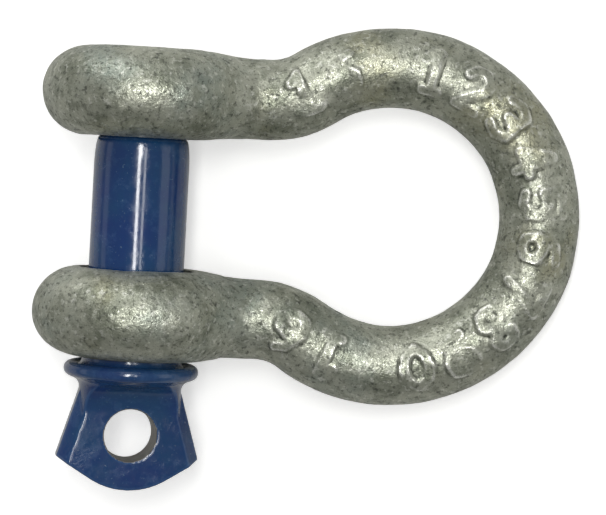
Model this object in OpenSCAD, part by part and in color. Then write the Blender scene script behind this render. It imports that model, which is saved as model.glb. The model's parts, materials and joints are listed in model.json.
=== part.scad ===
// Bow shackle with a screw pin: a bent bar with an eye at each end, one eye plain and one
// threaded, closed by a pin that has a collar and a spade head with a hole.
// Origin: on the pin's axis, midway between the eyes. +X points to the crown of the bow,
// +Y along the pin to the threaded eye, +Z out of the plane of the bow.

/* [Bow] */
// Diameter of the bar
bar_d = 16; // [13:0.5:19]
// Inside width of the bow where it is widest
bow_inside_w = 43.4; // [38:0.2:53]
// Inside length, from the pin's axis to the inside of the crown
inside_l = 71.8; // [64:0.2:90]
// Radius of the bend between leg and bow, on the bar's centreline
bend_r = 18; // [13:0.5:24]

/* [Eyes] */
// Clear width of the jaw, between the machined faces of the eyes
jaw_w = 27; // [22:0.5:31]
// Diameter of each eye
eye_d = 41; // [38:0.5:48]
// How much thicker each eye is than the bar, before its inner face is machined
eye_swell = 1.8; // [0.6:0.2:4]
// Width of the machined face round the plain hole, inside the jaw
spot_margin = 1.05; // [0.5:0.05:1.4]
// Depth of the machined face
spot_depth = 0.5; // [0.2:0.1:1]
// Gap all round the pin in the plain eye
plain_clear = 0.85; // [0.8:0.05:1.2]
// Length over which the eye runs out into the leg
eye_blend = 14; // [6:1:16]

/* [Pin] */
// Diameter of the pin's shank
pin_d = 19; // [17:0.1:20]
// Length of the rounded shoulder between shank and thread
shoulder_l = 6; // [3:0.5:10]
// How much slimmer the shoulder ends than the shank, on the radius
shoulder_drop = 0.8; // [0.4:0.1:1.2]
// Length of the chamfer on the pin's end
end_chamfer = 1; // [0.5:0.1:2]
// How far the pin's end stays inside the threaded eye's outer face
end_inset = 0.5; // [0:0.1:3]

/* [Thread] */
// How far the thread's crest lies under the shank's surface
thread_drop = 0.1; // [0.05:0.05:0.6]
// Distance from one turn to the next
pitch = 2.54; // [2.4:0.01:3]
// Depth of the pin's thread
thread_depth = 1.4; // [1:0.05:1.5]
// Width of the thread's crest
crest_w = 0.4; // [0.2:0.05:0.5]
// Gap between the two threads, along and across the axis
thread_clear = 0.2; // [0.15:0.05:0.3]

/* [Collar] */
// How far the collar's rim stands out from the shank
collar_rise = 4; // [3:0.1:6]
// Thickness of the collar's ring
collar_t = 3; // [2.4:0.1:4]
// Gap between the eye and the collar with the pin home
collar_gap = 0.4; // [0.3:0.1:2]
// Length of the collar's small flare towards the eye
flare_l = 0.7; // [0.4:0.1:1.5]
// Radius of the land under the collar, above the shank's own
land_rise = 0.4; // [0.3:0.1:0.6]
// Running gap round the land
collar_fit = 0.05; // [0.03:0.01:0.09]

/* [Head] */
// How far the head's neck stands out from the shank
neck_rise = 0.7; // [0.5:0.1:1.5]
// Width of the head across its corners
head_w = 28.6; // [26:0.2:34]
// Thickness of the head's flat blade
head_t = 8; // [6:0.2:10]
// Length from the collar's back to the corners
head_corner_l = 16; // [14:0.5:20]
// Angle at which the lower edges run in from the corners
tip_a = 31.5; // [25:0.5:38]
// Radius of the rounded tip
tip_r = 14.5; // [12:0.5:15]
// Width of the chamfer down each side of the blade
side_chamfer = 2.3; // [1:0.1:3]
// Thickness that is left at the blade's side edges
side_t = 3; // [2:0.2:4]
// Diameter of the hole in the head
hole_d = 10.4; // [8:0.2:11]
// Distance from the collar's back to the middle of the hole
hole_l = 11.2; // [10.5:0.1:12]
// Radius of the hollow between the neck and the flat of the blade
scoop_r = 6; // [3:0.5:6.4]
// How far the head stands turned from the plane of the bow
head_turn = 12; // [-90:1:90]

/* [Hidden] */
$fn = 96;

// The bow's section has this many sides, and the thread this many steps to a turn
section_sides = 32;
thread_steps = 32;
flat_half_a = 180 / section_sides;
// How far a cut runs past the face that it opens
past = 1;

// Eyes and legs
eye_t = bar_d + eye_swell;
spot_y = jaw_w / 2;
eye_in_y = spot_y - spot_depth;
eye_out_y = eye_in_y + eye_t;
leg_y = eye_in_y + eye_t / 2;
eye_r = eye_d / 2;
edge_r = eye_t / 2 / cos(flat_half_a);
edge_x = eye_r - edge_r;
bar_r = bar_d / 2 / cos(flat_half_a);

// The bow's arc, and the bend that leads into it
bow_r = bow_inside_w / 2 + bar_d / 2;
bow_x = inside_l - bow_inside_w / 2;
bend_run = sqrt(pow(bow_r + bend_r, 2) - pow(leg_y + bend_r, 2));
bend_x = bow_x - bend_run;
bend_a = asin(bend_run / (bow_r + bend_r));

// Pin
pin_r = pin_d / 2;
plain_r = pin_r + plain_clear;
spot_r = plain_r + spot_margin;
thread_r = pin_r - thread_drop;
root_r = thread_r - thread_depth;
flank = tan(30);
relief_r = root_r + 0.3;
nose_r = root_r - 0.3;
thread_from = spot_y + 0.5;
thread_to = eye_out_y - end_inset;
shoulder_to = spot_y - 0.5;
shank_to = shoulder_to - shoulder_l;

// The threaded hole is the pin's thread with room round it
tapped_r = thread_r + thread_clear;
tapped_minor_r = root_r + 2 * thread_clear;
tapped_crest_w = crest_w + 2 * thread_clear * (1 - flank);
tap_sink = 1.8;

// Both threads start at the same place in the pitch; the hole's runs past both faces
ridge_half = crest_w / 2 + thread_depth * flank;
thread_start = thread_from + ridge_half + 0.2;
thread_end = thread_to - end_chamfer;
thread_turns = floor((thread_end - ridge_half - 0.2 - thread_start) / pitch);
tapped_start = thread_start - 3 * pitch;
tapped_turns = ceil((eye_out_y - tapped_start) / pitch) + 2;

// Collar and head, as distances down the pin
collar_from = eye_out_y + collar_gap;
ring_from = collar_from + flare_l;
collar_to = ring_from + collar_t;
land_r = pin_r + land_rise;
collar_bore_r = land_r + collar_fit;
land_lead = 0.1;
land_from = collar_from - land_lead;
head_from = collar_to + collar_fit;
neck_r = pin_r + neck_rise;
neck_fillet_r = 2.2;
scoop_y = head_from + scoop_r + 0.7;
corner_y = head_from + head_corner_l;
hole_y = head_from + hole_l;
chamfer_x = tip_r * sin(tip_a);
tip_side_y = corner_y + (head_w / 2 - chamfer_x) * tan(tip_a);
tip_centre_y = tip_side_y - tip_r * cos(tip_a);
flare_top_y = head_from + 2.5;
flare_a = atan((head_w / 2 - neck_r) / (corner_y - flare_top_y));

// A smooth step from 0 to 1, and the larger of two values with the corner between them filled
function ease(t) = let(c = min(max(t, 0), 1)) c * c * (3 - 2 * c);
function smooth_max(a, b, k) = let(h = max(k - abs(a - b), 0) / max(k, 0.001)) max(a, b) + h * h * k / 4;

// Half thickness of the eye and leg, at a distance x from the pin's axis
function leg_half(x) =
    x < -edge_x ? sqrt(pow(edge_r, 2) - pow(-x - edge_x, 2)) :
    edge_r + (bar_r - edge_r) * ease((x - edge_x / 2) / (bend_x - edge_x / 2));

// Half height of the round-edged eye over a point of its face, negative past its rim
function eye_rise(x, v) =
    let(q = pow(edge_x + sqrt(max(pow(edge_r, 2) - v * v, 0)), 2) - x * x) sign(q) * sqrt(abs(q));

// Half height of the section: the eye where x is small, the round bar where it is large
function section_rise(x, v, s) =
    x <= 0 ? max(eye_rise(x, v), 0) : smooth_max(eye_rise(x, v), bar_r * s, eye_blend * s);

// One ring of the bow: p is [x, y, heading, distance from the pin's axis]
function ring(p) = let(w = leg_half(p[3])) [
    for (j = [0 : section_sides - 1])
        let(t = (j + 0.5) * 360 / section_sides, v = w * cos(t), s = abs(sin(t)))
        let(z = section_rise(p[3], v, s) * sign(sin(t)))
        [p[0] - sin(p[2]) * v, p[1] + cos(p[2]) * v, z]
];

// Stations along half of the bow, from the eye's rim to the crown
eye_steps = 8;
leg_steps = 14;
bend_steps = 5;
crown_steps = 14;
half_path = [
    for (i = [0 : eye_steps - 1]) let(x = -edge_x - edge_r * sin(80 * (1 - i / eye_steps))) [x, leg_y, 0, x],
    for (i = [0 : leg_steps - 1]) let(x = -edge_x + (bend_x + edge_x) * i / leg_steps) [x, leg_y, 0, x],
    for (i = [0 : bend_steps - 1]) let(a = bend_a * i / bend_steps)
        [bend_x + bend_r * sin(a), leg_y + bend_r * (1 - cos(a)), a, 2 * bend_x],
    for (i = [0 : crown_steps - 1]) let(a = bend_a - (90 + bend_a) * i / crown_steps)
        [bow_x - bow_r * sin(a), bow_r * cos(a), a, 2 * bend_x]
];
half_count = len(half_path);
bow_path = concat(
    half_path,
    [[bow_x + bow_r, 0, -90, 2 * bend_x]],
    [for (i = [half_count - 1 : -1 : 0]) let(p = half_path[i]) [p[0], -p[1], -180 - p[2], p[3]]]
);

// A skin over rings of equal count, closed at both ends
module skin(rings) {
    n = len(rings[0]);
    last = len(rings) - 1;
    sides = [
        for (i = [0 : last - 1], j = [0 : n - 1])
            let(a = i * n + j, b = i * n + (j + 1) % n)
            each [[a, b, b + n], [a, b + n, a + n]]
    ];
    first_cap = [for (j = [n - 1 : -1 : 0]) j];
    last_cap = [for (j = [0 : n - 1]) last * n + j];
    polyhedron([for (r = rings) each r], concat([first_cap], sides, [last_cap]));
}

// A right-hand thread and its core as one solid about Z. The core runs past the ridge by
// spare at both ends, and where lead is true the ridge rises from nothing over half a turn.
module threaded_rod(outer_r, inner_r, crest, start, turns, spare, lead) {
    n = thread_steps;
    base = crest / 2 + (outer_r - inner_r) * flank;
    last = turns * n;
    z0 = start - spare;
    z1 = start + turns * pitch + spare;
    function rise(i) = lead ? min(1, 0.03 + min(i, last - i) * 2 / n) : 1;
    function at(r, i, z) = [r * cos(i * 360 / n), r * sin(i * 360 / n), z];
    function corner(i, r, dz) = at(r, i, start + pitch * i / n + dz);
    // Four corners of the ridge at each step, then the rings of the two end faces
    points = concat(
        [for (i = [0 : last]) let(top = inner_r + (outer_r - inner_r) * rise(i)) each [
            corner(i, inner_r, -base), corner(i, top, -base + (top - inner_r) * flank),
            corner(i, top, base - (top - inner_r) * flank), corner(i, inner_r, base)
        ]],
        [for (i = [0 : n - 1]) at(inner_r, i, z0)],
        [for (i = [0 : n - 1]) at(inner_r, i, z1)]
    );
    low = 4 * (last + 1);
    high = low + n;
    ridge = [for (i = [0 : last - 1], k = [0 : 2]) let(a = 4 * i + k)
        each [[a, a + 1, a + 5], [a, a + 5, a + 4]]];
    root = [for (i = [0 : last - n - 1]) [4 * i + 3, 4 * (i + n), 4 * (i + n + 1), 4 * i + 7]];
    low_wall = [for (i = [0 : n - 2]) [low + i, 4 * i, 4 * i + 4, low + i + 1]];
    // The wall beside each end of the ridge, as a fan from the one corner off its line
    low_line = [4 * n, 3, 0, low, low + n - 1];
    low_fan = [for (k = [0 : 3]) [4 * (n - 1), low_line[k], low_line[k + 1]]];
    high_wall = [for (i = [1 : n - 1]) let(a = 4 * (last - n + i) + 3) [a, high + i, high + (i + 1) % n, a + 4]];
    high_line = [high + 1, high, 4 * last + 3, 4 * last, 4 * (last - n) + 3];
    high_fan = [for (k = [0 : 3]) [4 * (last - n) + 7, high_line[k + 1], high_line[k]]];
    caps = [
        [0, 3, 2, 1],
        [for (k = [0 : 3]) 4 * last + k],
        [for (i = [0 : n - 1]) low + i],
        [for (i = [n - 1 : -1 : 0]) high + i]
    ];
    polyhedron(points, concat(ridge, root, low_wall, low_fan, high_wall, high_fan, caps));
}

// What is made about Z stands along Y, with -Y the head's end
module along_y() {
    rotate([-90, 0, 0]) children();
}

// Bow: the bent bar and its two eyes, with the holes and the machined faces cut
module bow() {
    color([0.55, 0.57, 0.54])
    difference() {
        skin([for (p = bow_path) ring(p)]);
        along_y() {
            cylinder(h = jaw_w, r = spot_r, center = true);
            translate([0, 0, -eye_out_y - past]) cylinder(h = eye_out_y, r = plain_r);
            translate([0, 0, spot_y - past])
                cylinder(h = past + tap_sink, r1 = tapped_r + 0.1 + past, r2 = tapped_r + 0.1 - tap_sink);
            threaded_rod(tapped_r, tapped_minor_r, tapped_crest_w, tapped_start, tapped_turns, 2, false);
        }
    }
}

// Blade of the head, flat in XZ, pointing down
module blade() {
    outline = [
        [neck_r, -flare_top_y], [head_w / 2, -corner_y],
        for (a = [tip_a : -tip_a / 8 : -tip_a])
            [tip_r * sin(a), -tip_centre_y - tip_r * cos(a)],
        [-head_w / 2, -corner_y], [-neck_r, -flare_top_y], [-neck_r + 1, -head_from], [neck_r - 1, -head_from]
    ];
    difference() {
        rotate([90, 0, 0]) linear_extrude(2 * neck_r, center = true) polygon(outline);
        for (x = [0, 1], y = [0, 1]) mirror([x, 0, 0]) mirror([0, y, 0])
            translate([head_w / 2, 0, -corner_y]) rotate([0, -flare_a, 0]) side_cut();
    }
}

// What the side chamfer takes off one edge of the blade
module side_cut() {
    rise = (head_t - side_t) / 2;
    linear_extrude(3 * head_corner_l, center = true)
        polygon([
            [side_chamfer, side_t / 2 - rise], [-side_chamfer * 4, side_t / 2 + rise * 4],
            [side_chamfer, side_t / 2 + rise * 4]
        ]);
}

// Neck of the head: round, with a fillet out to the collar's back
module neck() {
    rotate_extrude() difference() {
        translate([0, -corner_y + side_chamfer]) square([neck_r + neck_fillet_r, corner_y - side_chamfer - head_from]);
        translate([neck_r + neck_fillet_r, -head_from - neck_fillet_r]) circle(neck_fillet_r);
        translate([neck_r, -corner_y]) square([neck_fillet_r * 2, corner_y - head_from - neck_fillet_r]);
    }
}

// Head: neck and blade, hollowed on both faces down to the blade's thickness, with its hole
module head() {
    difference() {
        union() {
            neck();
            blade();
        }
        for (y = [0, 1]) mirror([0, y, 0]) {
            translate([0, head_t / 2 + scoop_r, -scoop_y]) rotate([0, 90, 0])
                cylinder(h = head_w * 2, r = scoop_r, center = true);
            translate([-head_w, head_t / 2, -scoop_y - head_w]) cube([head_w * 2, head_w, head_w]);
            translate([-head_w, head_t / 2 + scoop_r, -scoop_y - past])
                cube([head_w * 2, head_w, scoop_r + past]);
        }
        translate([0, 0, -hole_y]) rotate([90, 0, 0]) cylinder(h = head_w, d = hole_d, center = true);
    }
}

// Screw pin: shank, shoulder, thread and spade head in one piece
module screw_pin() {
    color([0.10, 0.20, 0.42])
    along_y() {
        translate([0, 0, -land_from]) cylinder(h = land_from + shank_to, r = pin_r);
        translate([0, 0, -head_from - past]) cylinder(h = head_from + past - land_from, r = land_r);
        rotate_extrude() shoulder_profile();
        threaded_rod(thread_r, root_r, crest_w, thread_start, thread_turns, ridge_half + 0.4, true);
        translate([0, 0, thread_from]) cylinder(h = thread_end - thread_from, r = nose_r);
        translate([0, 0, thread_end]) cylinder(h = end_chamfer, r1 = nose_r, r2 = nose_r - end_chamfer);
        rotate([0, 0, head_turn]) head();
    }
}

// Outline of the shoulder: a quarter of an oval down to a groove, where the thread starts
module shoulder_profile() {
    oval = [for (a = [0 : 9 : 90]) [pin_r - shoulder_drop * (1 - cos(a)), shank_to + shoulder_l * sin(a)]];
    polygon(concat([[0, shank_to]], oval, [[relief_r, shoulder_to + 0.3], [relief_r, thread_from], [0, thread_from]]));
}

// Collar: a ring with a rounded rim and a small flare towards the eye
module pin_collar() {
    rim_r = collar_t / 2;
    ring_r = pin_r + collar_rise - rim_r;
    rim = [for (a = [90 : -10 : -90]) [ring_r + rim_r * cos(a), -ring_from - rim_r + rim_r * sin(a)]];
    flare = [[collar_bore_r + 0.5, -collar_from], [collar_bore_r + 1.1, -collar_from - flare_l * 2 / 3]];
    color([0.12, 0.25, 0.47])
    along_y() rotate_extrude()
        polygon(concat([[collar_bore_r, -collar_to], [collar_bore_r, -collar_from]], flare, rim));
}

bow();
screw_pin();
pin_collar();
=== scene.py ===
import json
import math
import bpy
import numpy as np
from mathutils import Matrix, Vector, noise


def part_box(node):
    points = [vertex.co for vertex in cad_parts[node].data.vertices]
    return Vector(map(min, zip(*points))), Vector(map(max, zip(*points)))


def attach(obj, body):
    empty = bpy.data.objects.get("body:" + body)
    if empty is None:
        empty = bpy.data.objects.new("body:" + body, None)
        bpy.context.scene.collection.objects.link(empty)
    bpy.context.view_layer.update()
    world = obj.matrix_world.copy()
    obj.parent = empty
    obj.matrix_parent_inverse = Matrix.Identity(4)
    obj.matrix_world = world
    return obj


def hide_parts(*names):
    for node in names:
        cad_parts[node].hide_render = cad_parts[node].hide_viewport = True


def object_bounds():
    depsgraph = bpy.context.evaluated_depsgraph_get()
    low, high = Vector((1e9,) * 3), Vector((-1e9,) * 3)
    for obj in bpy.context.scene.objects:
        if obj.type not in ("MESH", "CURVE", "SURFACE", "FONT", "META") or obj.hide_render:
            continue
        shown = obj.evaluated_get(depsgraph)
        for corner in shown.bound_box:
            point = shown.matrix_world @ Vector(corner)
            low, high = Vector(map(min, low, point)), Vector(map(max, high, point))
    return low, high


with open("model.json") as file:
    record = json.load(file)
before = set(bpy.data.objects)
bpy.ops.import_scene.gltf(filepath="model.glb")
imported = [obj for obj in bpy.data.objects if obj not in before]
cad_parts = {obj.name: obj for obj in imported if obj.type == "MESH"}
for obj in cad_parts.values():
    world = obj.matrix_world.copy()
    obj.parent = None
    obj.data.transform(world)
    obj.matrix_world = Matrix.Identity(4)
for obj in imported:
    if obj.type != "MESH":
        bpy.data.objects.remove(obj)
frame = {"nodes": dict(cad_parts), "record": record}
cadLow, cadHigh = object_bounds()
bowLow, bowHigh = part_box("bow")
pinLow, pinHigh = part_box("screw_pin")
collarLow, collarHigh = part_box("pin_collar")
mounts = {mount["name"]: mount for mount in frame["record"]["mounts"]}
mm = 0.001        # shapes below are worked out in millimetres, meshes are made in metres
roundSteps = 160  # corners of the big turned shapes
nearAxis = 0.01   # radius that closes a turned shape on its axis
farAway = 99.0    # stands for no stroke near
boxGap = 5e-6     # metres kept inside the frame's box
print("frame loaded:", ", ".join(sorted(frame["nodes"])))


def makeObject(name, points, faces):
    mesh = bpy.data.meshes.new(name)
    mesh.from_pydata([tuple(p) for p in np.asarray(points, float) * mm], [], faces)
    mesh.validate()
    mesh.update()
    made = bpy.data.objects.new(name, mesh)
    bpy.context.scene.collection.objects.link(made)
    return made


def gridFaces(rings, sides):  # quads over closed rings, with a face on the first and the last
    at = np.arange(rings * sides).reshape(rings, sides)
    a, b = at[:-1], np.roll(at, -1, axis=1)[:-1]
    c, d = np.roll(at, -1, axis=1)[1:], at[1:]
    quads = np.stack([a, b, c, d], axis=-1).reshape(-1, 4).tolist()
    return quads + [at[0][::-1].tolist(), at[-1].tolist()]


def latheObject(name, profile, steps=96):  # profile is [radius, height] from bottom to top
    profile = np.asarray(profile, float)
    angle = np.linspace(0, 2 * math.pi, steps, endpoint=False)
    points = np.stack([
        np.outer(profile[:, 0], np.cos(angle)),
        np.outer(profile[:, 0], np.sin(angle)),
        np.repeat(profile[:, 1:2], steps, axis=1)], axis=-1)
    return makeObject(name, points.reshape(-1, 3), gridFaces(len(profile), steps))


def prismObject(name, outline, low, high):  # outline in XZ, run along Y
    n = len(outline)
    points = [(x, low, z) for x, z in outline] + [(x, high, z) for x, z in outline]
    sides = [[i, i + n, (i + 1) % n + n, (i + 1) % n] for i in range(n)]
    return makeObject(name, points, [list(range(n)), list(range(2 * n - 1, n - 1, -1))] + sides)


def arc(centre, radius, fromAngle, toAngle, steps):
    angles = np.radians(np.linspace(fromAngle, toAngle, steps + 1))
    return [[centre[0] + radius * math.cos(a), centre[1] + radius * math.sin(a)] for a in angles]


def place(piece, matrix):
    move = matrix.copy()
    move.translation = move.translation * mm
    piece.data.transform(move)
    return piece


def bake(piece):  # puts the modifiers into the mesh
    bpy.context.view_layer.update()
    seen = piece.evaluated_get(bpy.context.evaluated_depsgraph_get())
    mesh = bpy.data.meshes.new_from_object(seen)
    piece.modifiers.clear()
    old, piece.data = piece.data, mesh
    bpy.data.meshes.remove(old)
    mesh.name = piece.name


def combine(piece, tools, operation):
    for tool in tools:
        joiner = piece.modifiers.new("Combine", "BOOLEAN")
        joiner.operation = operation
        joiner.solver = "MANIFOLD"
        joiner.object = tool
    bake(piece)
    for tool in tools:
        bpy.data.objects.remove(tool)
    return piece


def vertexArray(mesh, kind="co"):
    values = np.empty(len(mesh.vertices) * 3, np.float32)
    if kind == "co":
        mesh.vertices.foreach_get("co", values)
    else:
        mesh.vertex_normals.foreach_get("vector", values)
    return values.reshape(-1, 3).astype(float)


def setVertices(mesh, points):
    mesh.vertices.foreach_set("co", np.asarray(points, np.float32).ravel())
    mesh.update()


def noiseField(points, size, seed, octaves=2):  # points in metres, size in millimetres
    shift = Vector((seed * 7.13, seed * 3.71, seed * 5.39))
    scale = 1 / (size * mm)
    return np.array([noise.fractal(Vector(p) * scale + shift, 1.0, 2.0, octaves) for p in points])


def storeRidges(piece, rounds):  # "ridge" is above 0.5 where the surface stands out, below where it sinks
    mesh = piece.data
    points, normals = vertexArray(mesh), vertexArray(mesh, "normal")
    edges = np.empty(len(mesh.edges) * 2, np.int32)
    mesh.edges.foreach_get("vertices", edges)
    a, b = edges.reshape(-1, 2).T
    count = np.bincount(a, minlength=len(points)) + np.bincount(b, minlength=len(points))

    def around(values):
        total = np.bincount(a, values[b], len(points)) + np.bincount(b, values[a], len(points))
        return total / np.maximum(count, 1)

    middle = np.stack([around(points[:, k]) for k in range(3)], axis=-1)
    length = np.linalg.norm(points[a] - points[b], axis=1)
    reach = np.bincount(a, length, len(points)) + np.bincount(b, length, len(points))
    bend = ((points - middle) * normals).sum(1) / (reach / np.maximum(count, 1)) ** 2 * mm
    for _ in range(rounds):
        bend = 0.5 * bend + 0.5 * around(bend)
    ridge = piece.data.attributes.new("ridge", "FLOAT", "POINT")
    ridge.data.foreach_set("value", np.clip(0.5 + bend, 0, 1).astype(np.float32))


def smoothShade(piece, angle):
    piece.data.shade_smooth()
    piece.data.set_sharp_from_angle(angle=math.radians(angle))


# What is made about Z stands along Y, with -Y the head's end
alongY = Matrix.Rotation(math.radians(-90), 4, "X")


bowSize = {
    "barD": 16.0,
    "jawW": 27.0,
    "eyeSwell": 1.8,
    "spotDepth": 0.5,
    "spotMargin": 1.05,
    "spotChamfer": 0.3,
    "plainClear": 0.85,
    "eyeBlend": 14.0,      # the bar grows out of the eye over this length
    "eyeStretch": 0.85,    # the eye's round is drawn out along the leg
    "eyeThin": 0.5,        # and thinned by this share
    "thinFrom": 10.0,
    "bendR": 18.0,
    "ringStep": 0.36,      # distance from one ring of the mesh to the next
    "ringSides": 150,
    "skinIn": 0.03,        # how far the mesh keeps inside the frame's surface
    "lumpSizes": ((19.0, 0.16), (6.5, 0.085), (2.4, 0.035)),   # forging lumps: size and height
    "lumpSink": 0.35,      # share of a lump that lies below the smooth skin
    "seamH": 0.10,         # the ground-off parting line
    "seamW": 0.9,
    "wear": (0.6, 9.0),    # how much of the line is left, and the size of what is gone
}
marks = {
    "text": "16 1234567890 16",
    "advance": 8.9,
    "width": 5.2,
    "height": 8.0,
    "stroke": 0.85,        # half the stroke's width
    "edge": 0.55,          # width of a stroke's sloping edge
    "rise": 0.5,
    "shift": 0.2,
    "reach": 8.0,          # marks lie within this distance of the bar's top line
    "wear": (0.7, 1.3, 6.0),   # mean height left, swing, and size of the worn places
    "wearLimits": (0.1, 1.1),
}
threadSize = {
    "pitch": 2.54,
    "depth": 1.4,
    "crest": 0.4,
    "clear": 0.2,          # between the pin's thread and the eye's
    "drop": 0.1,           # the thread is this much smaller than the shank
    "inset": 0.5,          # pin's end inside the eye's outer face
    "fromJaw": 0.5,        # the thread starts this far past the jaw
    "endGap": 0.2,         # plain core at each end of the ridge
    "tipL": 1.0,           # chamfer on the pin's end
    "tipIn": 1.3,
    "rootStep": 0.3,       # core and forging overlap this far at the thread's root
    "lip": (1.1, 1.7, 1.0, 1.8),   # lead-in of the tapped hole: out, in, before, behind
    "steps": 64,
}

pinR = mounts["pin_bearing"]["dims"]["r_mm"]
eyeInY = bowSize["jawW"] / 2 - bowSize["spotDepth"]
eyeT = bowSize["barD"] + bowSize["eyeSwell"]
eyeOutY = eyeInY + eyeT
legY = eyeInY + eyeT / 2
eyeR = bowHigh.z / mm - bowSize["skinIn"]
edgeR = eyeT / 2
edgeX = eyeR - edgeR
barR = bowSize["barD"] / 2
bowX = (bowHigh.x - bowHigh.y) / mm
bowR = bowHigh.y / mm - barR - bowSize["skinIn"]
bendRun = math.sqrt((bowR + bowSize["bendR"]) ** 2 - (legY + bowSize["bendR"]) ** 2)
bendX = bowX - bendRun
bendA = math.asin(bendRun / (bowR + bowSize["bendR"]))


def ease(t):
    t = np.clip(t, 0, 1)
    return t * t * (3 - 2 * t)


def legHalf(x):  # half thickness at a distance x from the pin's axis
    rim = np.sqrt(np.maximum(edgeR ** 2 - np.maximum(-x - edgeX, 0) ** 2, 0))
    leg = edgeR + (barR - edgeR) * ease((x - edgeX / 2) / (bendX - edgeX / 2))
    return np.where(x < -edgeX, rim, leg)


def eyeRise(x, v):  # half height of the round-edged eye over a point of its face
    q = (edgeX + np.sqrt(np.maximum(edgeR ** 2 - v * v, 0))) ** 2 - x * x
    return np.sign(q) * np.sqrt(np.abs(q))


def bowPath():  # x, y, heading and distance from the pin's axis, from the threaded eye to the plain one
    gap = bowSize["ringStep"]
    tilt = np.radians(np.linspace(88.5, 0, int(edgeR * 1.55 / gap), endpoint=False))
    x = np.concatenate([-edgeX - edgeR * np.sin(tilt),
                        np.linspace(-edgeX, bendX, int((bendX + edgeX) / gap), endpoint=False)])
    leg = np.stack([x, np.full_like(x, legY), np.zeros_like(x), x], axis=1)
    a = np.linspace(0, bendA, int(bendA * bowSize["bendR"] / gap), endpoint=False)
    far = np.full_like(a, 2 * bendX)
    bend = np.stack([bendX + bowSize["bendR"] * np.sin(a),
                     legY + bowSize["bendR"] * (1 - np.cos(a)), a, far], axis=1)
    a = np.linspace(bendA, -math.pi / 2, int((bendA + math.pi / 2) * bowR / gap), endpoint=False)
    far = np.full_like(a, 2 * bendX)
    crown = np.stack([bowX - bowR * np.sin(a), bowR * np.cos(a), a, far], axis=1)
    half = np.concatenate([leg, bend, crown])
    tip = [[bowX + bowR, 0, -math.pi / 2, 2 * bendX]]
    back = half[::-1] * [1, -1, -1, 1] + [0, 0, -math.pi, 0]
    return np.concatenate([half, tip, back])


# Digit strokes in a box one unit wide and one high
digitStrokes = {
    "0": [[(.5, 0), (.12, .2), (0, .5), (.12, .8), (.5, 1), (.88, .8), (1, .5), (.88, .2), (.5, 0)]],
    "1": [[(.15, .78), (.55, 1), (.55, 0)], [(.2, 0), (.9, 0)]],
    "2": [[(.05, .78), (.25, .97), (.6, 1), (.92, .8), (.85, .55), (0, 0), (1, 0)]],
    "3": [[(.05, .9), (.45, 1), (.85, .85), (.85, .62), (.4, .53), (.9, .42), (.95, .18),
           (.5, 0), (0, .12)]],
    "4": [[(.7, 0), (.7, 1), (0, .3), (1, .3)]],
    "5": [[(.92, 1), (.15, 1), (.1, .55), (.55, .62), (.95, .4), (.9, .12), (.45, 0), (0, .1)]],
    "6": [[(.85, .95), (.35, .85), (.03, .4), (.15, .08), (.55, 0), (.93, .15), (.93, .42),
           (.5, .56), (.06, .4)]],
    "7": [[(0, 1), (1, 1), (.4, 0)]],
    "8": [[(.5, .54), (.12, .74), (.25, .96), (.5, 1), (.75, .96), (.88, .74), (.5, .54), (.05, .28),
           (.2, .04), (.5, 0), (.8, .04), (.95, .28), (.5, .54)]],
    "9": [[(.94, .6), (.5, .44), (.07, .58), (.07, .85), (.45, 1), (.85, .92), (.97, .6),
           (.65, .15), (.15, .05)]],
}


def strokeDistance(along, across):  # from each point to the nearest stroke of the marks
    nearest = np.full(along.shape, farAway)
    box = np.array([marks["width"], marks["height"]])
    start = -marks["advance"] * (len(marks["text"]) - 1) / 2
    for i, mark in enumerate(marks["text"]):
        left = start + i * marks["advance"] - marks["width"] / 2
        close = np.abs(along - left - marks["width"] / 2) < marks["advance"]
        close &= np.abs(across) < marks["reach"]
        for stroke in digitStrokes.get(mark, []):
            corners = np.array(stroke) * box + [left, marks["shift"] - marks["height"] / 2]
            for p, q in zip(corners[:-1], corners[1:]):
                d = q - p
                u, v = along[close] - p[0], across[close] - p[1]
                t = np.clip((u * d[0] + v * d[1]) / (d @ d), 0, 1)
                nearest[close] = np.minimum(nearest[close], np.hypot(u - t * d[0], v - t * d[1]))
    return nearest


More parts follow.
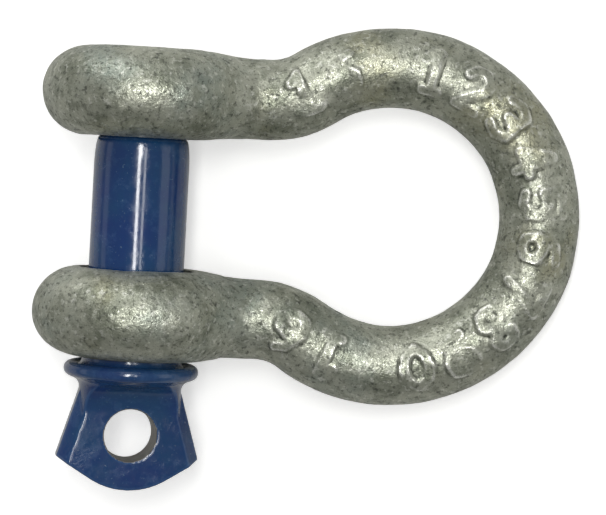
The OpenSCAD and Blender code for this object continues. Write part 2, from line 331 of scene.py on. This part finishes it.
def bowSkin():
    path = bowPath()
    x, y, heading, far = (path[:, k:k + 1] for k in range(4))
    t = (np.arange(bowSize["ringSides"]) + 0.5)[None] * 2 * math.pi / bowSize["ringSides"]
    half = legHalf(far)
    v = half * np.cos(t)
    s = np.abs(np.sin(t)) * np.ones_like(far)
    grown = barR * s * ease(far / bowSize["eyeBlend"])
    thinned = 1 - bowSize["eyeThin"] * ease((far - bowSize["thinFrom"]) / bowSize["eyeBlend"])
    beyond = np.maximum(eyeRise(bowSize["eyeStretch"] * far, v), 0) * thinned
    rise = np.where(far <= 0, np.maximum(eyeRise(far, v), 0), np.cbrt(beyond ** 3 + grown ** 3))
    side = rise * np.sign(np.sin(t))
    points = np.stack([x - np.sin(heading) * v, y + np.cos(heading) * v, side], axis=-1)
    made = makeObject("galvanised_bow", points.reshape(-1, 3), gridFaces(len(path), bowSize["ringSides"]))

    # Lumps, the marks and the parting line stand on the smooth skin
    mesh = made.data
    spots, normals = vertexArray(mesh), vertexArray(mesh, "normal")
    lift = np.zeros(len(spots))
    for i, (size, height) in enumerate(bowSize["lumpSizes"]):
        lift += height * (noiseField(spots, size, i + 1) - bowSize["lumpSink"])
    run = np.concatenate([[0], np.cumsum(np.hypot(*np.diff(path[:, :2], axis=0).T))])
    run = run - run[len(path) // 2]
    along = np.repeat(run, bowSize["ringSides"])
    across = ((math.pi / 2 - t) * half).ravel()
    near = strokeDistance(along, np.where(np.abs(across) < marks["reach"], across, farAway))
    mean, swing, size = marks["wear"]
    worn = np.clip(mean + swing * noiseField(spots, size, 9), *marks["wearLimits"])
    lift += marks["rise"] * worn * ease(1 - (near - marks["stroke"]) / marks["edge"])
    left, size = bowSize["wear"]
    height = np.abs(np.sin(t)) * half
    seam = np.exp(-(height.ravel() / bowSize["seamW"]) ** 2) * (spots[:, 0] > 0)
    lift += bowSize["seamH"] * seam * np.clip(left + noiseField(spots, size, 5), 0, 1)
    spots = spots + normals * (lift * mm)[:, None]
    low, high = np.array(bowLow), np.array(bowHigh)
    setVertices(mesh, np.clip(spots, low + boxGap, high - boxGap))
    return made


def threadedRod(name, outerR, innerR, crest, start, turns, spare, lead):  # a core with one helical ridge
    n = threadSize["steps"]
    flank = math.tan(math.radians(30))
    base = crest / 2 + (outerR - innerR) * flank
    last = turns * n
    bottom, top = start - spare, start + turns * threadSize["pitch"] + spare

    def at(r, i, z):
        return r * math.cos(i * 2 * math.pi / n), r * math.sin(i * 2 * math.pi / n), z

    points = []
    for i in range(last + 1):
        share = min(1, 0.03 + min(i, last - i) * 2 / n) if lead else 1
        crestR = innerR + (outerR - innerR) * share
        rest = base - (crestR - innerR) * flank
        for r, dz in ((innerR, -base), (crestR, -rest), (crestR, rest), (innerR, base)):
            points.append(at(r, i, start + threadSize["pitch"] * i / n + dz))
    points += [at(innerR, i, bottom) for i in range(n)] + [at(innerR, i, top) for i in range(n)]
    low, high = 4 * (last + 1), 4 * (last + 1) + n
    faces = []
    for i in range(last):
        faces += [[4 * i + k, 4 * i + k + 4, 4 * i + k + 5, 4 * i + k + 1] for k in range(3)]
    faces += [[4 * i + 7, 4 * (i + n + 1), 4 * (i + n), 4 * i + 3] for i in range(last - n)]
    faces += [[low + i + 1, 4 * i + 4, 4 * i, low + i] for i in range(n - 1)]
    lowLine = [4 * n, 3, 0, low, low + n - 1]
    faces += [[lowLine[k + 1], lowLine[k], 4 * (n - 1)] for k in range(4)]
    for i in range(1, n):
        a = 4 * (last - n + i) + 3
        faces.append([a + 4, high + (i + 1) % n, high + i, a])
    highLine = [high + 1, high, 4 * last + 3, 4 * last, 4 * (last - n) + 3]
    faces += [[highLine[k], highLine[k + 1], 4 * (last - n) + 7] for k in range(4)]
    faces += [[1, 2, 3, 0], [4 * last + k for k in (3, 2, 1, 0)]]
    faces += [[low + i for i in range(n - 1, -1, -1)], [high + i for i in range(n)]]
    return makeObject(name, points, faces)


threadR = pinR - threadSize["drop"]
rootR = threadR - threadSize["depth"]
ridgeHalf = threadSize["crest"] / 2 + threadSize["depth"] * math.tan(math.radians(30))
threadFrom = bowSize["jawW"] / 2 + threadSize["fromJaw"]
threadTo = eyeOutY - threadSize["inset"]
threadStart = threadFrom + ridgeHalf + threadSize["endGap"]
threadEnd = threadTo - threadSize["tipL"]
threadTurns = int((threadEnd - ridgeHalf - threadSize["endGap"] - threadStart) / threadSize["pitch"])


def buildBow():
    made = bowSkin()
    plainR = pinR + bowSize["plainClear"]
    spotR = plainR + bowSize["spotMargin"]
    clear = threadSize["clear"]
    spotY = bowSize["jawW"] / 2
    tappedR = threadR + clear
    crest = threadSize["crest"] + 2 * clear * (1 - math.tan(math.radians(30)))
    chamfer = bowSize["spotChamfer"]
    lipOut, lipIn, lipBefore, lipBehind = threadSize["lip"]
    start = threadStart - 3 * threadSize["pitch"]
    turns = math.ceil((eyeOutY - start) / threadSize["pitch"]) + 2
    tools = [
        latheObject("jaw", [[spotR - chamfer, -spotY], [spotR, -spotY + chamfer],
                            [spotR, spotY - chamfer], [spotR - chamfer, spotY]], roundSteps),
        latheObject("plainHole", [[plainR, -eyeOutY - 1], [plainR, -1]], roundSteps),
        latheObject("lip", [[tappedR + lipOut, spotY - lipBefore],
                            [tappedR - lipIn, spotY + lipBehind]], roundSteps),
        threadedRod("tap", tappedR, rootR + 2 * clear, crest, start, turns, 2, False),
    ]
    for tool in tools:
        place(tool, alongY)
    combine(made, tools, "DIFFERENCE")
    smoothShade(made, 38)
    storeRidges(made, 2)
    return made


pinSize = {
    "shoulderL": 6.0,
    "shoulderDrop": 0.8,
    "landRise": 0.4,       # the shank is this much fuller by the collar
    "neckRise": 0.7,
    "grooveL": 1.0,        # between the shoulder and the thread
    "grooveStep": 0.7,
    "landL": 1.5,
    "ringTrim": 0.7,       # the collar's ring is thinner than its node
    "flareFrom": 2.5,      # the head starts to widen here
    "scoopGap": 0.7,
    "collarFillet": 1.5,
    "neckFillet": 2.2,
    "headW": 28.6,
    "headT": 8.0,
    "cornerL": 16.0,
    "tipA": 31.5,
    "tipR": 14.5,
    "sideChamfer": 2.3,
    "sideT": 3.0,
    "scoopR": 6.0,
    "voxel": 0.26,         # mesh size of the painted forging
    "softRounds": 7,       # how often its edges are smoothed
    "wallReach": 0.2,      # the bare wall of the hole reaches this far out
}

holeMount = mounts["spade_hole"]
headTurn = math.atan2(holeMount["axis"][0], holeMount["axis"][2])
collarR = collarHigh.x / mm
collarFrom = -collarHigh.y / mm
collarTo = -collarLow.y / mm


def buildPin():
    size = pinSize
    headW = size["headW"]
    headFrom = collarTo + 0.05
    neckR = pinR + size["neckRise"]
    landR = pinR + size["landRise"]
    ringHalf = (collarTo - collarFrom - size["ringTrim"]) / 2
    ringAt = collarTo - ringHalf
    shankTo = threadFrom - size["grooveL"] - size["shoulderL"]
    cornerY = headFrom + size["cornerL"]
    grooveR = rootR + threadSize["rootStep"]
    # From the groove under the thread, down the shank and round the collar to the neck
    profile = [[nearAxis, threadFrom], [grooveR, threadFrom], [grooveR, threadFrom - size["grooveStep"]]]
    for a in np.radians(np.linspace(90, 0, 13)):
        r = pinR - size["shoulderDrop"] * (1 - math.cos(a))
        profile.append([r, shankTo + size["shoulderL"] * math.sin(a)])
    profile += [[pinR, -eyeOutY + size["landL"]], [landR, -eyeOutY]]
    f = size["collarFillet"]
    profile += arc((landR + f, -ringAt + ringHalf + f * 0.45), f, 180, 262, 6)
    profile += arc((collarR - ringHalf, -ringAt), ringHalf, 88, -88, 12)
    f = size["neckFillet"]
    profile += arc((neckR + f, -headFrom - f), f, 98, 180, 6)
    neckTo = -cornerY + size["sideChamfer"]
    profile += [[neckR, neckTo], [nearAxis, neckTo]]
    body = latheObject("screw_pin_forging", profile[::-1], roundSteps)

    tipA = math.radians(size["tipA"])
    tipSideY = cornerY + (headW / 2 - size["tipR"] * math.sin(tipA)) * math.tan(tipA)
    tipCentreY = tipSideY - size["tipR"] * math.cos(tipA)
    flareTop = headFrom + size["flareFrom"]
    flareA = math.atan((headW / 2 - neckR) / (cornerY - flareTop))
    outline = [(neckR, -flareTop), (headW / 2, -cornerY)]
    for a in np.radians(np.linspace(size["tipA"], -size["tipA"], 25)):
        outline.append((size["tipR"] * math.sin(a), -tipCentreY - size["tipR"] * math.cos(a)))
    outline += [(-headW / 2, -cornerY), (-neckR, -flareTop)]
    outline += [(1 - neckR, -headFrom), (neckR - 1, -headFrom)]
    blade = prismObject("blade", outline[::-1], -neckR, neckR)
    cuts = []
    run = size["sideChamfer"]
    rise = (size["headT"] - size["sideT"]) / 2
    sideZ = size["sideT"] / 2
    wedge = [(run, sideZ - rise), (run, sideZ + rise * 4), (-run * 4, sideZ + rise * 4)]
    for x in (1, -1):
        for y in (1, -1):
            cut = prismObject("sideCut", wedge, -headW, headW)
            # Z of the wedge becomes the blade's thickness, and its run the blade's length
            place(cut, Matrix.Rotation(math.radians(-90), 4, "X") @ Matrix.Scale(-1, 4, (0, 0, 1)))
            place(cut, Matrix.Translation((headW / 2, 0, -cornerY)) @ Matrix.Rotation(-flareA, 4, "Y"))
            place(cut, Matrix.Diagonal((x, y, 1, 1)))
            if x * y > 0:
                cut.data.flip_normals()
            cuts.append(cut)
    combine(blade, cuts, "DIFFERENCE")
    turn = Matrix.Rotation(headTurn, 4, "Z")
    place(blade, turn)
    combine(body, [blade], "UNION")

    scoopR = size["scoopR"]
    scoopY = headFrom + scoopR + size["scoopGap"]
    side = []
    for a in np.radians(np.linspace(0, 90, 19)):
        side.append((size["headT"] / 2 + scoopR * (1 - math.sin(a)), -scoopY + scoopR * math.cos(a)))
    side += [(size["headT"] / 2, -80), (30, -80), (30, -scoopY + scoopR)]  # well past the blade
    hollows = []
    for y in (1, -1):
        hollow = prismObject("hollow", side, -headW, headW)
        place(hollow, Matrix.Rotation(math.radians(90), 4, "Z"))
        if y < 0:
            place(hollow, Matrix.Rotation(math.pi, 4, "Z"))
        place(hollow, turn)
        hollows.append(hollow)
    holeR = holeMount["dims"]["r_mm"]
    hole = latheObject("headHole", [[holeR, -20], [holeR, 20]], 96)
    across = Matrix.Rotation(math.radians(90), 4, "X")
    place(hole, turn @ Matrix.Translation((0, 0, holeMount["pos_m"][1] / mm)) @ across)
    combine(body, hollows + [hole], "DIFFERENCE")

    # The forging is remeshed and smoothed, which rounds every edge under the paint
    remesh = body.modifiers.new("Remesh", "REMESH")
    remesh.mode = "VOXEL"
    remesh.voxel_size = size["voxel"] * mm
    soften = body.modifiers.new("Soften", "SMOOTH")
    soften.factor, soften.iterations = 0.5, size["softRounds"]
    bake(body)

    # The threaded end stays sharp, and sits in the groove behind the shoulder
    spare = ridgeHalf + 2 * threadSize["endGap"]
    screw = threadedRod("thread", threadR, rootR, threadSize["crest"], threadStart, threadTurns, spare, True)
    coreR = rootR - threadSize["rootStep"]
    tipR = rootR - threadSize["tipIn"]
    core = latheObject("core", [[nearAxis, threadFrom - 2], [coreR, threadFrom - 2], [coreR, threadEnd],
                                [tipR, threadTo], [nearAxis, threadTo]], 128)
    combine(core, [screw], "UNION")
    combine(body, [core], "UNION")
    place(body, alongY)
    spots = vertexArray(body.data)
    low = np.minimum(np.array(pinLow), np.array(collarLow)) + boxGap
    high = np.maximum(np.array(pinHigh), np.array(collarHigh)) - boxGap
    setVertices(body.data, np.clip(spots, low, high))
    smoothShade(body, 40)
    storeRidges(body, 3)

    # "bare" marks the wall of the hole, where the paint has gone
    axis = np.array(holeMount["axis"])
    offset = spots - np.array(holeMount["pos_m"])
    away = np.linalg.norm(offset - np.outer(offset @ axis, axis), axis=1)
    bare = body.data.attributes.new("bare", "FLOAT", "POINT")
    bare.data.foreach_set("value", (away < (holeR + size["wallReach"]) * mm).astype(np.float32))
    return body


def addNode(tree, kind, values=None, **settings):  # values are numbers or the sockets to link
    made = tree.nodes.new("ShaderNode" + kind)
    for name, value in settings.items():
        setattr(made, name, value)
    for name, value in (values or {}).items():
        if isinstance(value, bpy.types.NodeSocket):
            tree.links.new(value, made.inputs[name])
        else:
            made.inputs[name].default_value = value
    return made


def calc(tree, operation, a, b=0.0, clamp=False):
    return addNode(tree, "Math", {0: a, 1: b}, operation=operation, use_clamp=clamp).outputs[0]


def times(tree, a, b):
    return calc(tree, "MULTIPLY", a, b)


def step(tree, value, low, high):  # 0 below low, 1 above high
    limits = {"Value": value, "From Min": low, "From Max": high}
    return addNode(tree, "MapRange", limits, interpolation_type="SMOOTHSTEP").outputs["Result"]


def spread(tree, value, limits):  # the middle of a noise stretched between two values
    low, high = limits
    given = {"Value": value, "From Min": 0.3, "From Max": 0.7, "To Min": low, "To Max": high}
    return addNode(tree, "MapRange", given).outputs["Result"]


def noiseFac(tree, position, scale, detail, roughness=0.5):
    given = {"Vector": position, "Scale": scale, "Detail": detail, "Roughness": roughness}
    return addNode(tree, "TexNoise", given).outputs["Fac"]


def blendColour(tree, factor, a, b, mode="MIX"):
    made = tree.nodes.new("ShaderNodeMix")
    made.data_type, made.blend_type = "RGBA", mode
    for socket, value in ((made.inputs[0], factor), (made.inputs[6], a), (made.inputs[7], b)):
        if isinstance(value, bpy.types.NodeSocket):
            tree.links.new(value, socket)
        else:
            socket.default_value = (*value, 1) if socket.type == "RGBA" and len(value) == 3 else value
    return made.outputs[2]


def newGroup(name, inputs, outputs):
    tree = bpy.data.node_groups.new(name, "ShaderNodeTree")
    for label, kind, value in inputs:
        socket = tree.interface.new_socket(label, in_out="INPUT", socket_type="NodeSocket" + kind)
        if value is not None:
            socket.default_value = value
    for label, kind in outputs:
        tree.interface.new_socket(label, in_out="OUTPUT", socket_type="NodeSocket" + kind)
    return tree, tree.nodes.new("NodeGroupInput").outputs, tree.nodes.new("NodeGroupOutput").inputs


def useGroup(tree, group, values):
    made = tree.nodes.new("ShaderNodeGroup")
    made.node_tree = group
    for name, value in values.items():
        if isinstance(value, bpy.types.NodeSocket):
            tree.links.new(value, made.inputs[name])
        else:
            made.inputs[name].default_value = value
    return made.outputs


def makeMottle():  # soft patches of tone, and a breakup finer than they are
    inputs = [("Vector", "Vector", None), ("Size", "Float", 6.0), ("Breakup", "Float", 0.5)]
    tree, given, out = newGroup("Mottle", inputs, [("Patches", "Float"), ("Fine", "Float")])
    scale = calc(tree, "DIVIDE", 1000.0, given["Size"])
    wide = noiseFac(tree, given["Vector"], scale, 5.0, given["Breakup"])
    fine = noiseFac(tree, given["Vector"], times(tree, scale, 7.0), 3.0)
    tree.links.new(step(tree, wide, 0.32, 0.68), out["Patches"])
    tree.links.new(fine, out["Fine"])
    return tree


def makeFlecks():  # small spots: how big, how many, how soft
    inputs = [("Vector", "Vector", None), ("Size", "Float", 0.6),
              ("Amount", "Float", 0.3), ("Soft", "Float", 0.08)]
    tree, given, out = newGroup("Flecks", inputs, [("Mask", "Float")])
    spots = noiseFac(tree, given["Vector"], calc(tree, "DIVIDE", 1000.0, given["Size"]), 2.0, 0.6)
    edge = calc(tree, "SUBTRACT", 0.78, times(tree, given["Amount"], 0.45))
    tree.links.new(step(tree, spots, edge, calc(tree, "ADD", edge, given["Soft"])), out["Mask"])
    return tree


def makeRidgeWearHighlightShade():  # what stands out is rubbed bright and carries a painted highlight, what lies deep gets painted shade
    inputs = [("Vector", "Vector", None), ("Size", "Float", 1.5),
              ("Wear", "Float", 0.5), ("Dirt", "Float", 0.5)]
    tree, given, out = newGroup("RidgeWear", inputs, [("Worn", "Float"), ("Dirty", "Float")])
    ridge = addNode(tree, "Attribute", attribute_name="ridge").outputs["Fac"]
    broken = noiseFac(tree, given["Vector"], calc(tree, "DIVIDE", 1000.0, given["Size"]), 4.0)
    shaky = calc(tree, "ADD", ridge, times(tree, calc(tree, "SUBTRACT", broken, 0.5), 0.35))
    deep = calc(tree, "SUBTRACT", 1.0, shaky)
    # Rubbed wear plus a painted highlight on the ridges
    tree.links.new(times(tree, step(tree, shaky, 0.56, 0.85), given["Wear"]), out["Worn"])
    # Painted shade in the hollows
    tree.links.new(times(tree, step(tree, deep, 0.56, 0.85), given["Dirt"]), out["Dirty"])
    return tree


mottle, flecks, ridgeWearHighlightShade = makeMottle(), makeFlecks(), makeRidgeWearHighlightShade()


def newMaterial(name):
    made = bpy.data.materials.new(name)
    made.use_nodes = True
    tree = made.node_tree
    position = tree.nodes.new("ShaderNodeTexCoord").outputs["Object"]
    return made, tree, tree.nodes["Principled BSDF"], position


def fleckMask(tree, position, setting):  # setting is size in millimetres, amount and softness
    size, amount, soft = setting
    return useGroup(tree, flecks, {"Vector": position, "Size": size, "Amount": amount, "Soft": soft})["Mask"]


def addBump(tree, shader, height):
    bump = addNode(tree, "Bump", {"Height": height, "Distance": 1.0, "Strength": 1.0})
    tree.links.new(bump.outputs["Normal"], shader.inputs["Normal"])


zincLook = {
    "dull": (0.195, 0.213, 0.160),
    "pale": (0.50, 0.515, 0.425),
    "bluish": (0.26, 0.31, 0.275),
    "yellowish": (0.36, 0.35, 0.22),
    "dark": (0.050, 0.056, 0.045),
    "bright": (0.86, 0.87, 0.79),
    "darkSpecks": (0.9, 0.55, 0.14),   # size, amount, softness
    "blotches": (3.2, 0.58, 0.16),
    "paleSpecks": (1.1, 0.50, 0.16),
    "pits": (1.5, 0.3, 0.1),
    "metallic": 0.66,
    "roughness": (0.22, 0.60),
    "wornGloss": 0.12,     # how much smoother the worn marks are
    "speckRough": 0.15,
    "lumpBump": 0.20,      # heights in millimetres
    "grainBump": 0.07,
    "pitBump": 0.05,
}


def zincMaterial():
    made, tree, shader, position = newMaterial("hot_dip_zinc")
    look = zincLook
    broad = useGroup(tree, mottle, {"Vector": position, "Size": 9.0, "Breakup": 0.66})
    small = useGroup(tree, mottle, {"Vector": position, "Size": 2.3, "Breakup": 0.75})
    worn = useGroup(tree, ridgeWearHighlightShade, {"Vector": position, "Size": 1.4, "Wear": 0.9, "Dirt": 0.95})
    darkSpecks = fleckMask(tree, position, look["darkSpecks"])
    tint = noiseFac(tree, position, 62.0, 3.0)
    clustered = calc(tree, "SUBTRACT", 0.8, times(tree, small["Patches"], 0.55))

    # Each layer is a mask, how strongly it shows, and its colour
    layers = [
        (step(tree, tint, 0.52, 0.7), 0.7, "bluish"),
        (step(tree, tint, 0.46, 0.28), 0.7, "yellowish"),
        (small["Patches"], 0.5, "pale"),
        (fleckMask(tree, position, look["blotches"]), 0.55, "dull"),
        (fleckMask(tree, position, look["paleSpecks"]), 0.45, "bright"),
        (darkSpecks, clustered, "dark"),
        # rubbed wear with a painted highlight on the ridges and raised marks
        (worn["Worn"], 1.0, "bright"),
        # painted shade in the hollows
        (worn["Dirty"], 1.0, "dark"),
    ]
    colour = blendColour(tree, broad["Patches"], look["dull"], look["pale"])
    for mask, share, name in layers:
        colour = blendColour(tree, times(tree, mask, share), colour, look[name])
    tree.links.new(colour, shader.inputs["Base Color"])
    shader.inputs["Metallic"].default_value = look["metallic"]
    rough = spread(tree, small["Fine"], look["roughness"])
    rough = calc(tree, "SUBTRACT", rough, times(tree, worn["Worn"], look["wornGloss"]))
    rough = calc(tree, "ADD", rough, times(tree, darkSpecks, look["speckRough"]), True)
    tree.links.new(rough, shader.inputs["Roughness"])

    lumps = noiseFac(tree, position, 620.0, 3.0, 0.55)
    grain = noiseFac(tree, position, 2600.0, 2.0, 0.6)
    pits = fleckMask(tree, position, look["pits"])
    height = times(tree, lumps, look["lumpBump"] * mm)
    height = calc(tree, "ADD", height, times(tree, grain, look["grainBump"] * mm))
    height = calc(tree, "SUBTRACT", height, times(tree, pits, look["pitBump"] * mm))
    addBump(tree, shader, height)
    return made


paintLook = {
    "blue": (0.0075, 0.034, 0.145),
    "deep": (0.006, 0.026, 0.128),
    "teal": (0.009, 0.058, 0.145),
    "fleck": (0.10, 0.20, 0.30),
    "crevice": (0.006, 0.014, 0.045),
    "rubbed": (0.05, 0.12, 0.26),
    "steel": (0.23, 0.22, 0.20),
    "steelPale": (0.42, 0.41, 0.38),
    "dust": (0.55, 0.24, 0.06),        # size, amount, softness
    "specks": (1.0, 0.10, 0.05),
    "steelMetallic": 0.8,
    "roughness": (0.10, 0.22),
    "scuffRough": 0.25,
    "steelRough": 0.3,
    "scuffs": 0.35,
    "coat": 0.45,
    "coatRoughness": 0.05,
    "peelBump": 0.012,     # heights in millimetres
    "rippleBump": 0.05,
    "dustBump": 0.02,
}


def paintMaterial():
    made, tree, shader, position = newMaterial("blue_enamel")
    look = paintLook
    broad = useGroup(tree, mottle, {"Vector": position, "Size": 11.0, "Breakup": 0.5})
    scuffs = useGroup(tree, mottle, {"Vector": position, "Size": 4.0, "Breakup": 0.75})
    worn = useGroup(tree, ridgeWearHighlightShade, {"Vector": position, "Size": 1.2, "Wear": 0.4, "Dirt": 0.6})
    dust = fleckMask(tree, position, look["dust"])
    specks = fleckMask(tree, position, look["specks"])
    scuffed = times(tree, step(tree, scuffs["Patches"], 0.55, 0.95), look["scuffs"])
    layers = [
        (broad["Fine"], 0.5, "deep"),
        (calc(tree, "ADD", dust, specks, True), 0.45, "fleck"),
        # painted shade in the hollows
        (worn["Dirty"], 1.0, "crevice"),
        # rubbed wear with a painted highlight along the edges
        (worn["Worn"], 1.0, "rubbed"),
        (scuffed, 0.5, "rubbed"),
    ]
    colour = blendColour(tree, broad["Patches"], look["blue"], look["teal"])
    for mask, share, name in layers:
        colour = blendColour(tree, times(tree, mask, share), colour, look[name])

    # The hole's wall is rubbed down to bare steel
    rubbed = noiseFac(tree, position, 900.0, 4.0)
    ragged = times(tree, calc(tree, "SUBTRACT", rubbed, 0.5), 0.5)
    wall = addNode(tree, "Attribute", attribute_name="bare").outputs["Fac"]
    bare = step(tree, calc(tree, "ADD", wall, ragged), 0.4, 0.6)
    steel = blendColour(tree, rubbed, look["steel"], look["steelPale"])
    tree.links.new(blendColour(tree, bare, colour, steel), shader.inputs["Base Color"])
    tree.links.new(times(tree, bare, look["steelMetallic"]), shader.inputs["Metallic"])
    rough = spread(tree, broad["Fine"], look["roughness"])
    rough = calc(tree, "ADD", rough, times(tree, scuffed, look["scuffRough"]))
    rough = calc(tree, "ADD", rough, times(tree, bare, look["steelRough"]), True)
    tree.links.new(rough, shader.inputs["Roughness"])
    painted = calc(tree, "SUBTRACT", 1.0, bare, True)
    tree.links.new(times(tree, painted, look["coat"]), shader.inputs["Coat Weight"])
    shader.inputs["Coat Roughness"].default_value = look["coatRoughness"]

    # Orange peel all over, ripples in places, and dust under the gloss
    peel = noiseFac(tree, position, 700.0, 1.0)
    ripple = noiseFac(tree, position, 1500.0, 2.0)
    where = step(tree, noiseFac(tree, position, 110.0, 1.0), 0.5, 0.62)
    height = times(tree, peel, look["peelBump"] * mm)
    height = calc(tree, "ADD", height, times(tree, times(tree, ripple, where), look["rippleBump"] * mm))
    height = calc(tree, "ADD", height, times(tree, dust, look["dustBump"] * mm))
    addBump(tree, shader, height)
    return made


bow = buildBow()
bow.data.materials.clear()
bow.data.materials.append(zincMaterial())
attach(bow, "shackle_bow")
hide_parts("bow")
print("bow made:", len(bow.data.vertices), "points")

pin = buildPin()
pin.name = "painted_screw_pin"
pin.data.materials.clear()
pin.data.materials.append(paintMaterial())
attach(pin, "pin")
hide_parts("screw_pin", "pin_collar")
print("pin made:", len(pin.data.vertices), "points")


studio = {
    "floorSize": 1.6,
    "floorColour": (0.93, 0.93, 0.92),
    "floorAround": (0.62, 0.62, 0.61),
    "floorGlow": 0.45,
    "floorRoughness": 0.6,
    "floorGap": 0.1,       # millimetres under the eyes
    "world": 0.19,
    # name, place from the object's middle in millimetres, size, power, colour
    "lights": (
        ("coaxialStrip", (-50, 30, 610), (70, 300), 1.1, (1.0, 0.995, 0.98)),
        ("sideStrip", (100, 30, 610), (55, 300), 0.30, (1.0, 0.995, 0.98)),
        ("legStrip", (-16, 150, 610), (80, 150), 0.55, (1.0, 0.995, 0.98)),
        ("topBox", (-280, 600, 330), (800, 300), 2.1, (1.0, 1.0, 1.0)),
        ("rightBox", (620, 60, 310), (290, 600), 0.34, (1.0, 1.0, 1.0)),
        ("leftBox", (-700, 0, 70), (180, 600), 0.12, (1.0, 1.0, 1.0)),
    ),
}
cameraSize = {
    "distance": 450.0,
    "lens": 133.9,
    "tip": 2.5,
    "roll": 3.2,
    "nudge": (-0.6, 0.75),
}
middle = (cadLow + cadHigh) / 2


def floorTilt():  # the bow lies on its eyes and its crown, and the crown's bar is the slimmer
    return math.asin((eyeR - barR) / (bowX + bowR))


def makeFloor():
    half = studio["floorSize"] / 2
    mesh = bpy.data.meshes.new("floor")
    corners = [(-half, -half, 0), (half, -half, 0), (half, half, 0), (-half, half, 0)]
    mesh.from_pydata(corners, [], [(0, 1, 2, 3)])
    floor = bpy.data.objects.new("floor", mesh)
    bpy.context.scene.collection.objects.link(floor)
    drop = Matrix.Translation((0, 0, -(eyeR + studio["floorGap"]) * mm))
    floor.matrix_world = Matrix.Rotation(-floorTilt(), 4, "Y") @ drop
    made, tree, shader, _ = newMaterial("pale_floor")
    # The floor's glow stays out of the paint
    seen = tree.nodes.new("ShaderNodeLightPath").outputs["Is Camera Ray"]
    colour = blendColour(tree, seen, studio["floorAround"], studio["floorColour"])
    tree.links.new(colour, shader.inputs["Base Color"])
    shader.inputs["Roughness"].default_value = studio["floorRoughness"]
    shader.inputs["Emission Color"].default_value = (1, 1, 1, 1)
    tree.links.new(times(tree, seen, studio["floorGlow"]), shader.inputs["Emission Strength"])
    mesh.materials.append(made)


def makeLights():
    for name, spot, size, power, colour in studio["lights"]:
        lamp = bpy.data.lights.new(name, "AREA")
        lamp.shape = "RECTANGLE"
        lamp.size, lamp.size_y = size[0] * mm, size[1] * mm
        lamp.energy, lamp.color = power, colour
        holder = bpy.data.objects.new(name, lamp)
        back = Vector(spot).normalized()
        side = Vector((0, 1, 0)).cross(back).normalized()  # keeps the lamp's height along the pin
        turn = Matrix((side, back.cross(side), back)).transposed().to_4x4()
        holder.matrix_world = Matrix.Translation(middle + Vector(spot) * mm) @ turn
        bpy.context.scene.collection.objects.link(holder)
    world = bpy.data.worlds.new("studio")
    world.use_nodes = True
    world.node_tree.nodes["Background"].inputs["Color"].default_value = (1, 1, 1, 1)
    world.node_tree.nodes["Background"].inputs["Strength"].default_value = studio["world"]
    bpy.context.scene.world = world


def makeCamera():
    lens = bpy.data.cameras.new("camera")
    lens.lens = cameraSize["lens"]
    lens.sensor_width = 36
    lens.clip_start, lens.clip_end = 0.01, 10
    camera = bpy.data.objects.new("camera", lens)
    tip = Matrix.Rotation(math.radians(-cameraSize["tip"]), 4, "X")
    turn = tip @ Matrix.Rotation(math.radians(cameraSize["roll"]), 4, "Z")
    aim = Vector((middle.x, middle.y, 0)) + Vector((*cameraSize["nudge"], 0)) * mm
    away = turn @ Vector((0, 0, cameraSize["distance"] * mm))
    camera.matrix_world = Matrix.Translation(aim + away) @ turn
    bpy.context.scene.collection.objects.link(camera)
    bpy.context.scene.camera = camera


makeFloor()
makeLights()
makeCamera()
print("floor, lamps and camera placed")
bpy.context.scene.view_settings.view_transform = "Standard"
print("scene ready")
